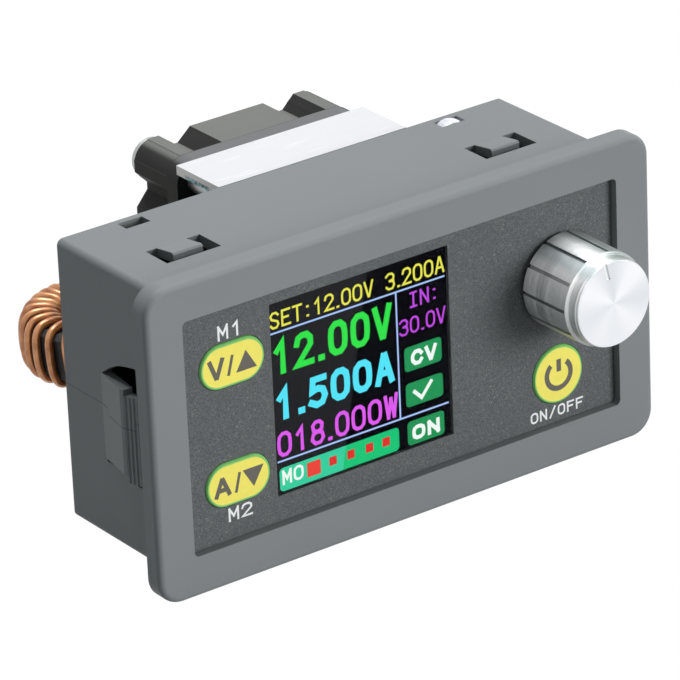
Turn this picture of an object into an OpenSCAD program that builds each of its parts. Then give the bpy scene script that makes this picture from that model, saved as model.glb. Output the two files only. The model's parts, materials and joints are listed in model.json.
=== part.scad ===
// Panel-mount buck converter module, millimetres.
// X runs right, Y runs back into the panel, Z runs up.
// The origin is the centre of the bezel's rear seating face.

/* [Which part to build] */
// one node, or all

/* [Bezel and case] */
// bezel width
bezel_w = 79; // [76:0.5:84]
// bezel height
bezel_h = 43; // [41:0.5:46]
// bezel thickness
bezel_t = 2.8; // [2.6:0.1:3.4]
// bezel corner radius
bezel_r = 3.4;
// front edge round
bezel_edge_r = 0.8;
// case width behind the bezel
case_w = 70.8;
// case height behind the bezel
case_h = 38.8;
// case depth behind the bezel
case_d = 22.7;
// case wall thickness
wall_t = 1.5;
// case long edge radius
case_r = 0.9;

/* [Front panel] */
// recess for the overlay, width
recess_w = 68.1;
// recess height
recess_h = 32.2;
// recess centre, X
recess_x = -0.1;
// recess centre, Z
recess_z = 0.2;
// overlay face below the bezel face
recess_d = 1.1;
// overlay film thickness
film_t = 0.3;
// front plate behind the film
plate_t = 2.0;
// display window width
window_w = 27.8;
// display window height
window_h = 26.5;
// display window centre, X
window_x = -6.5;
// display window centre, Z
window_z = 1.0;

/* [Keys] */
// pill key length
pill_l = 9.8;
// pill key radius
pill_r = 3.0;
// gap between a pill key and the display window
pill_gap = 1.15;
// volts key centre, Z
volts_z = 8.2;
// amps key centre, Z
amps_z = -8.0;
// power key radius
power_r = 4.05;
// power key centre, X
power_x = 24.4;
// power key centre, Z
power_z = -8.95;
// rim round the foot of a key
key_rim = 0.6;
// key height over the overlay
key_rise = 0.3;
// inset of the key's top edge
key_taper = 0.16;
// gap round a key
key_gap = 0.1;

/* [Knob and encoder] */
// knob radius at its base
knob_r = 6.5; // [6.3:0.1:7]
// knob front face position, Y
knob_front = -12.8;
// knob back face position, Y
knob_back = -2.15;
// clearance between the encoder and the case wall
encoder_gap = 2.5;
// encoder cover side
encoder_w = 12.2;
// knob axis, Z
knob_z = 4.5;
// grip grooves
grooves = 11;
// encoder shaft radius
shaft_r = 3.0;

/* [Fan and heatsink] */
// fan and heatsink side
fan_w = 30;
// fan axis, X
fan_x = 5.4;
// fan top below the case top
fan_drop = 0.6;
// heatsink front face behind the board
sink_gap = 2.4;
// heatsink depth
sink_d = 9.6;
// heatsink base thickness
sink_base = 2.9;
// fin thickness
fin_t = 1.0;
// thickness of the two outer fins
end_fin_t = 1.3;
// fan depth
fan_d = 10;
// fan flange thickness
flange_t = 2.5;
// fan blades
blades = 7;
// radius of a blade's curve
blade_r = 10.4;

/* [Inductor] */
// inductor axis, X
coil_x = -22.6;
// clearance between the winding and the power board
coil_gap = 0.2;
// inductor centre, Z
coil_z = -0.75;
// core outer radius
core_ro = 9.95;
// core inner radius
core_ri = 5.9;
// core height
core_h = 6.5;
// wire thickness
wire_d = 1.25;
// turns of wire
turns = 26;

/* [Capacitors and terminals] */
// large capacitor radius
cap_r = 5;
// large capacitor height
cap_h = 16;
// small capacitor radius
small_r = 4;
// small capacitor height
small_h = 12;
// clearance between neighbours on the power board
part_gap = 0.4;
// pitch of the output terminals
term_p = 5.08;
// terminal block size along X
term_w = 10;
// terminal block height off the board
term_h = 12;
// terminal block end above the case bottom
term_low = 3;
// clamp cage width
cage_w = 5.6;
// clamp cage height off its seat
cage_t = 4.6;
// clamp cage size along Z
cage_h = 3.8;

/* [Hidden] */
face_y = -bezel_t + recess_d;
floor_y = face_y + film_t;
plate_y = floor_y + plate_t;
ctrl_y = 7.8;
ctrl_t = 1.6;
power_y = 20.0;
board_t = 1.6;
rear_y = power_y + board_t;
sink_y = rear_y + sink_gap;
fan_y = sink_y + sink_d;
fan_back = fan_y + fan_d;
in_w = case_w - 2 * wall_t;
in_h = case_h - 2 * wall_t;
key_top = face_y - key_rise;
key_foot = 1.3;
tact_y = 4.3;
pill_x = window_x - window_w / 2 - pill_gap - pill_l / 2;
knob_x = in_w / 2 - encoder_gap - encoder_w / 2;
coil_y = rear_y + coil_gap + wire_d + core_ro;
slot_x = case_w / 2 - 10.4;
boss_x = case_w / 2 - 4.5;
boss_z = case_h / 2 - 4.5;
fan_z = case_h / 2 - fan_w / 2 - fan_drop;
fan_pitch = fan_w - 6;
fan_bore = fan_w / 2 - 0.9;
hub_r = fan_w * 0.267;
pad_t = 0.5;
chip_t = sink_gap - pad_t;
term_x = case_w / 2 - 2.2 - term_w;
term_z = -case_h / 2 + term_low;
term_l = 4 * term_p + 0.4;
cage_x = term_x + term_w / 2 - 2.6;
cage_y = rear_y + 2.2;
screw_x = term_x + term_w / 2;
screw_r = 2.0;
end_gap = 1.38;
$fn = 48;

// ---- helpers ----

// a flat outline drawn in X and Z, thick from y0 to y1
module slab(y0, y1) {
  rotate([90, 0, 0])
    translate([0, 0, -y1])
      linear_extrude(height = y1 - y0)
        children();
}

// a round bar along Y
module rod(x, z, y0, y1, r) {
  translate([x, y0, z])
    rotate([-90, 0, 0])
      cylinder(r = r, h = y1 - y0);
}

module round_rect(w, h, r) {
  union() {
    square([w - 2 * r, h], center = true);
    square([w, h - 2 * r], center = true);
    for (sx = [-1, 1])
      for (sz = [-1, 1])
        translate([sx * (w / 2 - r), sz * (h / 2 - r)])
          circle(r = r);
  }
}

module pill(l, r) {
  union() {
    square([l - 2 * r, 2 * r], center = true);
    for (s = [-1, 1])
      translate([s * (l / 2 - r), 0])
        circle(r = r);
  }
}

module four_corners(dx, dz) {
  for (sx = [-1, 1])
    for (sz = [-1, 1])
      translate([sx * dx, 0, sz * dz])
        children();
}

// edge section of the bezel: out from a corner centre, and forward
module bezel_section(w) {
  union() {
    square([w, bezel_t - bezel_edge_r]);
    square([w - bezel_edge_r, bezel_t]);
    translate([w - bezel_edge_r, bezel_t - bezel_edge_r])
      intersection() {
        circle(r = bezel_edge_r);
        square([bezel_edge_r, bezel_edge_r]);
      }
  }
}

module bezel_plate() {
  cx = bezel_w / 2 - bezel_r;
  cz = bezel_h / 2 - bezel_r;
  rotate([90, 0, 0]) {
    translate([-cx, -cz, 0])
      cube([2 * cx, 2 * cz, bezel_t]);
    for (a = [0, 180])
      rotate([0, 0, a]) {
        translate([cx, cz, 0])
          rotate([90, 0, 0])
            linear_extrude(height = 2 * cz)
              bezel_section(bezel_r);
        translate([-cx, cz, 0])
          rotate([90, 0, 90])
            linear_extrude(height = 2 * cx)
              bezel_section(bezel_r);
        translate([cx, cz, 0])
          rotate_extrude(angle = 90)
            bezel_section(bezel_r);
        translate([-cx, cz, 0])
          rotate([0, 0, 90])
            rotate_extrude(angle = 90)
              bezel_section(bezel_r);
      }
  }
}

// ---- housing ----

// spring arm of a top or bottom snap window, seen along X
module snap_tongue() {
  translate([-2.4, 0, 0])
    rotate([90, 0, 90])
      linear_extrude(height = 4.5)
        polygon([
          [8.5, case_h / 2 + 0.2],
          [8.7, case_h / 2 + 0.42],
          [9.0, case_h / 2 + 0.45],
          [12.0, case_h / 2],
          [12.9, case_h / 2],
          [12.9, case_h / 2 - 1.2],
          [8.5, case_h / 2 - 0.85]]);
}

// side spring arm with its ratchet steps, on the +X wall, seen along Z
module side_clip() {
  o = case_w / 2;
  translate([0, 0, -7.9])
    linear_extrude(height = 11.9)
      polygon([
        [o, 14.4],
        [o + 1.0, 8.8],
        [o + 0.9, 8.1],
        [o - 0.5, 8.1],
        [o - 1.3, 14.4]]);
  translate([0, 0, -8.9])
    linear_extrude(height = 12.1)
      polygon([
        [o + 0.85, 8.3],
        [o + 0.85, 7.9],
        [o + 0.65, 7.8],
        [o + 0.65, 7.3],
        [o + 0.45, 7.2],
        [o + 0.45, 6.7],
        [o + 0.25, 6.6],
        [o + 0.25, 6.1],
        [o + 0.05, 6.0],
        [o + 0.05, 5.4],
        [o - 0.2, 5.2],
        [o - 0.2, 4.6],
        [o - 1.2, 4.6],
        [o - 0.5, 8.3]]);
}

// outline of a side opening in Y and Z, arched over the arm's free end
module clip_opening() {
  polygon([
    [3.9, -9.3],
    [8.5, -9.3],
    [8.5, -8.3],
    [14.0, -8.3],
    [14.0, 4.2],
    [13.5, 4.5],
    [12.7, 5.1],
    [11.8, 5.6],
    [10.9, 6.05],
    [10.0, 6.4],
    [8.2, 6.85],
    [6.6, 7.15],
    [3.9, 7.45]]);
}

module case_shell() {
  difference() {
    slab(-0.4, case_d)
      round_rect(case_w, case_h, case_r);
    slab(plate_y, case_d + 1)
      square([in_w, in_h], center = true);
    for (m = [0, 1])
      mirror([0, 0, m])
        for (sx = [-1, 1]) {
          translate([sx * slot_x - 4.1, 7.4, case_h / 2 - wall_t - 0.5])
            cube([8.2, 4.75, wall_t + 1]);
          translate([sx * slot_x - 1.85, 19.7, case_h / 2 - wall_t - 0.5])
            cube([3.7, 2.0, wall_t + 1]);
        }
    for (m = [0, 1])
      mirror([m, 0, 0])
        translate([case_w / 2 - wall_t - 0.5, 0, 0])
          rotate([90, 0, 90])
            linear_extrude(height = wall_t + 1)
              clip_opening();
  }
}

module housing() {
  color([0.42, 0.45, 0.46])
    union() {
      difference() {
        union() {
          bezel_plate();
          case_shell();
        }
        translate([recess_x, 0, recess_z])
          slab(-bezel_t - 1, floor_y)
            round_rect(recess_w, recess_h, 0.7);
        translate([window_x, 0, window_z])
          slab(-bezel_t, plate_y + 1)
            square([window_w + 0.6, window_h + 0.6], center = true);
        for (z = [volts_z, amps_z])
          translate([pill_x, 0, z])
            slab(-bezel_t, plate_y + 1)
              pill(pill_l + 2 * key_gap, pill_r + key_gap);
        rod(power_x, power_z, -bezel_t, plate_y + 1, power_r + key_gap);
        rod(knob_x, knob_z, -bezel_t, plate_y + 1, 3.7);
      }
      for (m = [0, 1])
        mirror([0, 0, m])
          for (sx = [-1, 1])
            translate([sx * slot_x, 0, 0])
              snap_tongue();
      for (m = [0, 1])
        mirror([m, 0, 0])
          side_clip();
      // posts that the control board is screwed to
      difference() {
        four_corners(boss_x, boss_z)
          rod(0, 0, plate_y - 0.2, ctrl_y, 2.2);
        four_corners(boss_x, boss_z)
          rod(0, 0, 3.0, ctrl_y + 1, 0.8);
      }
      // corner ribs that the power board rests on
      four_corners(in_w / 2 - 0.9, in_h / 2 - 0.9)
        translate([-1.1, ctrl_y + ctrl_t, -1.1])
          cube([2.2, power_y - ctrl_y - ctrl_t, 2.2]);
    }
}

// ---- front ----

module face_overlay() {
  color([0.25, 0.27, 0.27])
    difference() {
      translate([recess_x, 0, recess_z])
        slab(face_y, floor_y)
          round_rect(recess_w - 0.3, recess_h - 0.3, 0.6);
      translate([window_x, 0, window_z])
        slab(face_y - 1, floor_y + 1)
          square([window_w, window_h], center = true);
      for (z = [volts_z, amps_z])
        translate([pill_x, 0, z])
          slab(face_y - 1, floor_y + 1)
            pill(pill_l + 2 * key_gap, pill_r + key_gap);
      rod(power_x, power_z, face_y - 1, floor_y + 1, power_r + key_gap);
      rod(knob_x, knob_z, face_y - 1, floor_y + 1, 4.1);
    }
}

module display_window() {
  color([0.6, 0.65, 0.68, 0.4])
    translate([window_x, 0, window_z])
      slab(face_y + 0.05, -0.6)
        square([window_w - 0.1, window_h - 0.1], center = true);
}

module lcd_panel() {
  color([0.03, 0.03, 0.04])
    translate([window_x, 0, window_z])
      slab(-0.6, 1.6)
        square([window_w + 0.3, window_h + 0.3], center = true);
}

module lcd_tray() {
  color([0.85, 0.86, 0.85])
    translate([window_x, 0, window_z])
      difference() {
        slab(plate_y, 3.4)
          square([window_w + 2.8, window_h + 2.8], center = true);
        slab(plate_y - 1, 1.6)
          square([window_w + 0.4, window_h + 0.4], center = true);
        // room for the rims of the two keys beside the tray
        for (z = [volts_z, amps_z])
          translate([pill_x - window_x, 0, z - window_z])
            slab(plate_y - 1, key_foot + 0.7)
              pill(pill_l + 2 * key_rim + 0.6, pill_r + key_rim + 0.3);
      }
}

module lcd_foam() {
  color([0.2, 0.2, 0.2])
    translate([window_x, 0, window_z])
      slab(3.4, ctrl_y)
        square([window_w - 3.8, window_h - 4.5], center = true);
}

// ---- keys ----

module pill_cap(z) {
  c = pill_l / 2 - pill_r;
  translate([pill_x, 0, z]) {
    slab(face_y - 0.06, key_foot)
      pill(pill_l, pill_r);
    slab(plate_y + 0.05, key_foot)
      pill(pill_l + 2 * key_rim, pill_r + key_rim);
    rotate([90, 0, 0])
      translate([0, 0, -face_y + 0.06]) {
        translate([-c, 0, 0])
          rotate([90, 0, 90])
            linear_extrude(height = 2 * c)
              polygon([
                [-pill_r, 0],
                [pill_r, 0],
                [pill_r - key_taper, key_rise - 0.06],
                [-pill_r + key_taper, key_rise - 0.06]]);
        for (a = [-90, 90])
          rotate([0, 0, a])
            translate([0, c, 0])
              rotate_extrude(angle = 180)
                polygon([
                  [0, 0],
                  [pill_r, 0],
                  [pill_r - key_taper, key_rise - 0.06],
                  [0, key_rise - 0.06]]);
      }
  }
}

module volts_key() {
  color([0.93, 0.88, 0.35])
    pill_cap(volts_z);
}

module amps_key() {
  color([0.93, 0.88, 0.35])
    pill_cap(amps_z);
}

module power_key() {
  color([0.93, 0.88, 0.35])
    translate([power_x, 0, power_z])
      rotate([90, 0, 0])
        rotate_extrude()
          polygon([
            [0, -key_foot],
            [power_r + key_rim, -key_foot],
            [power_r + key_rim, -plate_y - 0.05],
            [power_r, -plate_y - 0.05],
            [power_r, -face_y + 0.06],
            [power_r - key_taper, -key_top],
            [0, -key_top]]);
}

module plunger(x, z) {
  color([0.12, 0.12, 0.12])
    rod(x, z, key_foot, 5.6, 1.7);
}

module volts_plunger() {
  plunger(pill_x, volts_z);
}

module amps_plunger() {
  plunger(pill_x, amps_z);
}

module power_plunger() {
  plunger(power_x, power_z);
}

module tact_body(x, z) {
  difference() {
    translate([x - 3, tact_y, z - 3])
      cube([6, ctrl_y - tact_y, 6]);
    rod(x, z, tact_y - 1, 6.7, 1.75);
  }
}

module tact_switches() {
  color([0.7, 0.7, 0.7]) {
    tact_body(pill_x, volts_z);
    tact_body(pill_x, amps_z);
    tact_body(power_x, power_z);
  }
}

// ---- encoder and knob ----

module encoder_base() {
  color([0.15, 0.15, 0.15])
    difference() {
      translate([knob_x - encoder_w / 2 + 0.1, 4.4, knob_z - encoder_w / 2 + 0.1])
        cube([encoder_w - 0.2, ctrl_y - 4.4, encoder_w - 0.2]);
      rod(knob_x, knob_z, 3, 7.4, shaft_r + 0.05);
    }
}

module encoder_cover() {
  color([0.7, 0.7, 0.7])
    difference() {
      union() {
        translate([knob_x - encoder_w / 2, 1.2, knob_z - encoder_w / 2])
          cube([encoder_w, 3.2, encoder_w]);
        rod(knob_x, knob_z, -2.2, 1.3, 3.5);
      }
      rod(knob_x, knob_z, -3, 5, shaft_r + 0.05);
    }
}

module encoder_shaft() {
  color([0.75, 0.75, 0.75])
    difference() {
      rod(knob_x, knob_z, -10.2, 5.0, shaft_r);
      translate([knob_x - 4, -10.5, knob_z + 1.6])
        cube([8, 6.5, 4]);
    }
}

module encoder_plunger() {
  color([0.8, 0.8, 0.78])
    rod(knob_x, knob_z, 5.0, 6.4, 2.8);
}

module knob() {
  h = knob_back - knob_front;
  color([0.8, 0.81, 0.82])
    translate([knob_x, knob_back, knob_z])
      rotate([90, 0, 0])
        difference() {
          rotate_extrude()
            polygon([
              [5.2, 0],
              [knob_r - 0.15, 0],
              [knob_r, 0.15],
              [knob_r - 0.1, h - 2.1],
              [knob_r - 0.15, h - 2.0],
              [knob_r - 0.35, h - 1.8],
              [knob_r - 0.42, h - 1.75],
              [knob_r - 0.48, h - 0.5],
              [knob_r - 0.55, h - 0.45],
              [knob_r - 0.62, h - 0.12],
              [knob_r - 0.72, h],
              [0, h],
              [0, h - 1.9],
              [5.2, h - 1.9]]);
          for (i = [0 : grooves - 1])
            rotate([0, 0, 115 + i * 360 / grooves])
              translate([knob_r - 0.45, -0.25, -1])
                cube([1, 0.5, h - 1.25]);
          rotate([0, 0, 102.8])
            translate([3.6, -0.28, h - 0.25])
              cube([2.6, 0.56, 1]);
        }
}

module knob_insert() {
  color([0.08, 0.08, 0.08])
    difference() {
      rod(knob_x, knob_z, knob_front + 1.9, knob_back - 0.5, 5.2);
      difference() {
        rod(knob_x, knob_z, -10.3, 0, shaft_r);
        translate([knob_x - 4, -10.5, knob_z + 1.6])
          cube([8, 6.5, 4]);
      }
    }
}

// ---- boards ----

module control_board() {
  color([0.05, 0.3, 0.15])
    difference() {
      slab(ctrl_y, ctrl_y + ctrl_t)
        square([in_w - 0.8, in_h - 0.8], center = true);
      four_corners(in_w / 2, in_h / 2)
        translate([-2.6, ctrl_y - 1, -2.6])
          cube([5.2, ctrl_t + 2, 5.2]);
      four_corners(boss_x, boss_z)
        rod(0, 0, ctrl_y - 1, ctrl_y + ctrl_t + 1, 1.1);
    }
}

module chip(x, z, w, h, y, t) {
  translate([x - w / 2, y, z - h / 2])
    cube([w, t, h]);
}

module control_chips() {
  back = ctrl_y + ctrl_t;
  color([0.08, 0.08, 0.08]) {
    chip(-18, 6, 7, 7, back, 1.4);
    chip(-18, -7, 5, 4, back, 1.5);
    chip(-27, 8, 3, 3, back, 1.1);
    chip(24, -8, 5, 6.2, back, 1.5);
    chip(22, 8, 3, 1.6, back, 1.1);
    chip(27, 8, 3, 1.6, back, 1.1);
  }
}

module board_screws() {
  color([0.6, 0.6, 0.62])
    four_corners(boss_x, boss_z)
      difference() {
        union() {
          rod(0, 0, ctrl_y - 4.4, ctrl_y + ctrl_t, 0.8);
          rod(0, 0, ctrl_y + ctrl_t, ctrl_y + ctrl_t + 1.2, 1.8);
        }
        for (a = [0, 90])
          rotate([0, a, 0])
            translate([-1.1, ctrl_y + ctrl_t + 0.6, -0.2])
              cube([2.2, 1, 0.4]);
      }
}

module link_header() {
  color([0.05, 0.05, 0.05])
    translate([fan_x - 10.16, ctrl_y + ctrl_t, fan_z - 1.27])
      cube([20.32, 2.5, 2.54]);
}

module link_socket() {
  color([0.05, 0.05, 0.05])
    difference() {
      translate([fan_x - 10.16, ctrl_y + ctrl_t + 2.5, fan_z - 1.27])
        cube([20.32, power_y - ctrl_y - ctrl_t - 2.5, 2.54]);
      for (i = [0 : 7])
        translate([fan_x - 8.89 + 2.54 * i - 0.4, ctrl_y + ctrl_t + 2, fan_z - 0.4])
          cube([0.8, 6.6, 0.8]);
    }
}

module link_pins() {
  color([0.85, 0.7, 0.3])
    for (i = [0 : 7])
      translate([fan_x - 8.89 + 2.54 * i - 0.32, ctrl_y + ctrl_t + 2.5, fan_z - 0.32])
        cube([0.64, 5.8, 0.64]);
}

module coil_lead_holes(r) {
  for (s = [-1, 1])
    rod(coil_x + s * 2.6, coil_z - core_h / 2 - 0.15, power_y - 0.9, coil_y - core_ro + 1.55, r);
}

module power_board() {
  color([0.05, 0.3, 0.15])
    difference() {
      union() {
        slab(power_y, rear_y)
          square([in_w - 0.5, in_h - 0.5], center = true);
        for (sx = [-1, 1])
          translate([sx * slot_x, 0, 0])
            slab(power_y, rear_y)
              square([3.3, case_h - 2.6], center = true);
      }
      coil_lead_holes(0.7);
    }
}

module mosfets() {
  color([0.1, 0.1, 0.1])
    for (i = [-1 : 1])
      chip(fan_x + i * hub_r, fan_z + 2.6, fan_w * 0.22, fan_w * 0.32, rear_y, chip_t);
}

module thermal_pad() {
  color([0.2, 0.5, 0.52])
    chip(fan_x, fan_z + 2.6, fan_w - 2, fan_w * 0.46, rear_y + chip_t, pad_t);
}

// these stay low enough to pass under the heatsink
module power_chips() {
  low = -case_h / 2 + 4.6;
  tall = sink_gap - 0.2;
  color([0.1, 0.1, 0.1]) {
    chip(fan_x - 10.9, low, 5, 4, rear_y, tall - 0.7);
    chip(fan_x - 3.9, low, 4.4, 2.6, rear_y, tall);
    chip(fan_x + 2.6, low, 4.4, 2.6, rear_y, tall);
    chip(fan_x + 11.4, low, 6.4, 4.4, rear_y, tall);
  }
}

module shunt_resistor() {
  color([0.15, 0.15, 0.16])
    chip(-case_w / 2 + 5.8, -case_h / 2 + 6.9, 3.2, 6.4, rear_y, 0.8);
}

// ---- heatsink and fan ----

module heatsink() {
  half = fan_w / 2;
  color([0.85, 0.86, 0.88])
    translate([fan_x, 0, fan_z])
      difference() {
        union() {
          translate([-half, sink_y, -half])
            cube([fan_w, sink_base, fan_w]);
          for (i = [0 : 6])
            translate([-half, sink_y + sink_base - 0.1, -half + 5.2 + i * (fan_w - 11.4) / 6])
              cube([fan_w, sink_d - sink_base + 0.1, fin_t]);
          for (z = [-half, half - end_fin_t])
            translate([-half, sink_y + sink_base - 0.1, z])
              cube([fan_w, sink_d - sink_base + 0.1, end_fin_t]);
        }
        // threaded bores that the fan is screwed to
        four_corners(fan_pitch / 2, fan_pitch / 2)
          rod(0, 0, sink_y - 1, sink_y + sink_base + 1, 1.45);
      }
}

// fan body behind the flange: square, with a raised middle and a boss at each corner
module fan_outline() {
  half = fan_w / 2;
  low = half - 1.85;
  top = half - 0.05;
  union() {
    square([2 * low, 2 * low], center = true);
    for (a = [0, 90, 180, 270])
      rotate([0, 0, a]) {
        polygon([
          [-5.9, top],
          [5.9, top],
          [8.0, low],
          [8.0, 5],
          [-8.0, 5],
          [-8.0, low]]);
        polygon([
          [half - 6, low],
          [half - 4.1, top],
          [half - 2.4, top],
          [top, half - 2.4],
          [top, half - 4.1],
          [low, half - 6],
          [half - 6, half - 6]]);
        translate([fan_pitch / 2, fan_pitch / 2])
          circle(r = 2.93);
      }
  }
}

module fan_frame() {
  color([0.09, 0.09, 0.09])
    translate([fan_x, 0, fan_z])
      difference() {
        union() {
          difference() {
            union() {
              slab(fan_y, fan_y + flange_t)
                round_rect(fan_w, fan_w, 3);
              slab(fan_y + flange_t, fan_back)
                fan_outline();
            }
            rod(0, 0, fan_y - 1, fan_back + 1, fan_bore);
          }
          // motor seat on four arms
          rod(0, 0, fan_y, fan_y + 1.2, hub_r);
          for (a = [45, 135])
            rotate([0, a, 0])
              translate([-fan_bore - 0.4, fan_y, -1])
                cube([2 * fan_bore + 0.8, 1.05, 2]);
          rod(0, 0, fan_y, fan_back - 2.6, 2);
        }
        four_corners(fan_pitch / 2, fan_pitch / 2)
          rod(0, 0, fan_y - 1, fan_back + 1, 1.6);
        rod(0, 0, fan_y + 0.6, fan_back, 0.8);
      }
}

module fan_stator() {
  color([0.7, 0.4, 0.2])
    translate([fan_x, 0, fan_z])
      difference() {
        rod(0, 0, fan_y + 1.4, fan_back - 3.1, hub_r - 1.6);
        rod(0, 0, fan_y, fan_back, 2.02);
        for (a = [0, 45, 90, 135])
          rotate([0, a, 0])
            for (s = [-1, 1])
              translate([s * (hub_r - 2.8) - 1.7, fan_y + 1, -0.55])
                cube([3.4, 7, 1.1]);
      }
}

module fan_rotor() {
  color([0.1, 0.1, 0.1])
    translate([fan_x, 0, fan_z]) {
      difference() {
        rod(0, 0, fan_y + 2.0, fan_back - 0.6, hub_r);
        rod(0, 0, fan_y + 1.0, fan_back - 1.5, hub_r - 0.9);
      }
      rod(0, 0, fan_y + 0.8, fan_back - 1.4, 0.75);
      for (i = [0 : blades - 1])
        rotate([0, i * 360 / blades, 0])
          intersection() {
            difference() {
              rod(0, 0, fan_y + 2.4, fan_back - 0.8, fan_bore - 0.5);
              rod(0, 0, fan_y + 2, fan_back, hub_r - 0.2);
            }
            translate([hub_r - 1, fan_back + 3.2, 4.2])
              rotate([0, 90, 0])
                difference() {
                  cylinder(r = blade_r, h = fan_bore - hub_r + 2);
                  translate([0, 0, -1])
                    cylinder(r = blade_r - 0.6, h = fan_bore - hub_r + 4);
                  translate([-blade_r - 2, 0, -1])
                    cube([2 * blade_r + 4, 2 * blade_r + 4, fan_bore - hub_r + 4]);
                  translate([-2 * blade_r - 4.3, -2 * blade_r - 4, -1])
                    cube([2 * blade_r + 4, 2 * blade_r + 4, fan_bore - hub_r + 4]);
                }
          }
    }
}

// two screws, on one diagonal, through the fan into the heatsink
module fan_screws() {
  color([0.3, 0.3, 0.31])
    translate([fan_x, 0, fan_z])
      for (s = [-1, 1])
        translate([-s * fan_pitch / 2, 0, s * fan_pitch / 2])
          difference() {
            union() {
              rod(0, 0, sink_y + 0.3, fan_back, 1.45);
              rod(0, 0, fan_back, fan_back + 0.85, 2.75);
            }
            for (a = [0, 90])
              rotate([0, a, 0])
                translate([-1.6, fan_back + 0.35, -0.3])
                  cube([3.2, 1, 0.6]);
          }
}

// ---- inductor ----

module ring_section(ri, ro, h, c) {
  polygon([
    [ri + c, -h / 2],
    [ro - c, -h / 2],
    [ro, -h / 2 + c],
    [ro, h / 2 - c],
    [ro - c, h / 2],
    [ri + c, h / 2],
    [ri, h / 2 - c],
    [ri, -h / 2 + c]]);
}

module toroid_core() {
  color([0.25, 0.26, 0.27])
    translate([coil_x, coil_y, coil_z])
      rotate_extrude()
        ring_section(core_ri, core_ro, core_h, 0.6);
}

module toroid_winding() {
  color([0.75, 0.42, 0.2]) {
    translate([coil_x, coil_y, coil_z])
      difference() {
        rotate_extrude()
          difference() {
            ring_section(core_ri - wire_d, core_ro + wire_d, core_h + 2 * wire_d, 1.5);
            ring_section(core_ri - 0.05, core_ro + 0.05, core_h + 0.1, 0.6);
          }
        // wedges that leave each turn one wire wide
        for (i = [0 : turns - 1])
          rotate([0, 0, -83 + i * 360 / turns])
            translate([wire_d * turns / 2 / PI, 0, -core_h])
              linear_extrude(height = 2 * core_h)
                polygon([
                  [0, 0],
                  [9, -9 * tan(180 / turns)],
                  [9, 9 * tan(180 / turns)]]);
      }
    coil_lead_holes(wire_d / 2);
  }
}

// ---- capacitors ----

module radial_can(x, z, r, h) {
  difference() {
    rod(x, z, rear_y, rear_y + h, r);
    translate([x, rear_y + 1.6, z])
      rotate([-90, 0, 0])
        rotate_extrude()
          polygon([
            [r + 1, 0],
            [r, 0],
            [r - 0.3, 0.35],
            [r, 0.7],
            [r + 1, 0.7]]);
  }
}

module large_capacitor() {
  color([0.1, 0.1, 0.12])
    radial_can(coil_x + cap_r - 0.4, -case_h / 2 + cap_r + 2.5, cap_r, cap_h);
}

module small_capacitors() {
  row_z = case_h / 2 - 5.8 - small_r;
  color([0.1, 0.1, 0.12]) {
    radial_can(coil_x, row_z, small_r, small_h);
    radial_can(fan_x - fan_w / 2 - part_gap - small_r, row_z, small_r, small_h);
    // the third one stands beside the end of the terminal block
    radial_can(case_w / 2 - 3.8 - small_r, term_z + term_l + end_gap + small_r,
      small_r, small_h);
  }
}

// ---- output terminals ----

module terminal_body() {
  color([0.15, 0.5, 0.3])
    difference() {
      translate([term_x, rear_y, term_z])
        cube([term_w, term_h, term_l]);
      for (i = [0 : 3]) {
        zc = term_z + 0.2 + (i + 0.5) * term_p;
        translate([cage_x, cage_y, zc - cage_h / 2])
          cube([term_w, cage_t, cage_h]);
        rod(screw_x, zc, cage_y + cage_t - 0.8, rear_y + term_h + 1, screw_r + 0.05);
      }
      translate([term_x - 1, rear_y + term_h - 2.4, term_z - 1])
        rotate([0, 0, -45])
          translate([-4, -2, 0])
            cube([4, 8, term_l + 3.6]);
    }
}

module terminal_cages() {
  color([0.75, 0.76, 0.78])
    for (i = [0 : 3]) {
      zc = term_z + 0.2 + (i + 0.5) * term_p;
      difference() {
        translate([cage_x, cage_y, zc - cage_h / 2])
          cube([cage_w, cage_t, cage_h]);
        translate([cage_x - 1.4, cage_y + 0.6, zc - cage_h / 2 + 0.5])
          cube([cage_w + 3.4, cage_t - 1.6, cage_h - 1]);
        rod(screw_x, zc, cage_y + cage_t - 1.8, rear_y + term_h, screw_r * 0.6);
      }
    }
}

module terminal_screws() {
  top = cage_y + cage_t + 4.0;
  color([0.75, 0.76, 0.78])
    for (i = [0 : 3]) {
      zc = term_z + 0.2 + (i + 0.5) * term_p;
      difference() {
        union() {
          rod(screw_x, zc, cage_y + cage_t - 1.6, top - 1.8, screw_r * 0.6);
          rod(screw_x, zc, top - 1.8, top, screw_r);
        }
        translate([screw_x - screw_r, top - 0.8, zc - 0.3])
          cube([2 * screw_r, 2, 0.6]);
      }
    }
}

// ---- glue ----

module glue_dab() {
  color([0.93, 0.94, 0.97])
    intersection() {
      translate([slot_x, 20.7, case_h / 2 - 2.2])
        sphere(r = 2.5);
      translate([slot_x - 1.75, 19.75, case_h / 2 - 0.6])
        cube([3.5, 1.9, 3]);
    }
}

housing();
face_overlay();
display_window();
lcd_panel();
lcd_tray();
lcd_foam();
volts_key();
amps_key();
power_key();
volts_plunger();
amps_plunger();
power_plunger();
tact_switches();
encoder_base();
encoder_cover();
encoder_shaft();
encoder_plunger();
knob();
knob_insert();
control_board();
control_chips();
board_screws();
link_header();
link_socket();
link_pins();
power_board();
mosfets();
thermal_pad();
heatsink();
fan_frame();
fan_stator();
fan_rotor();
fan_screws();
toroid_core();
toroid_winding();
large_capacitor();
small_capacitors();
terminal_body();
terminal_cages();
terminal_screws();
power_chips();
shunt_resistor();
glue_dab();
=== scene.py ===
import json
import math
import random

import bpy
from mathutils import Matrix, Vector


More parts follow.
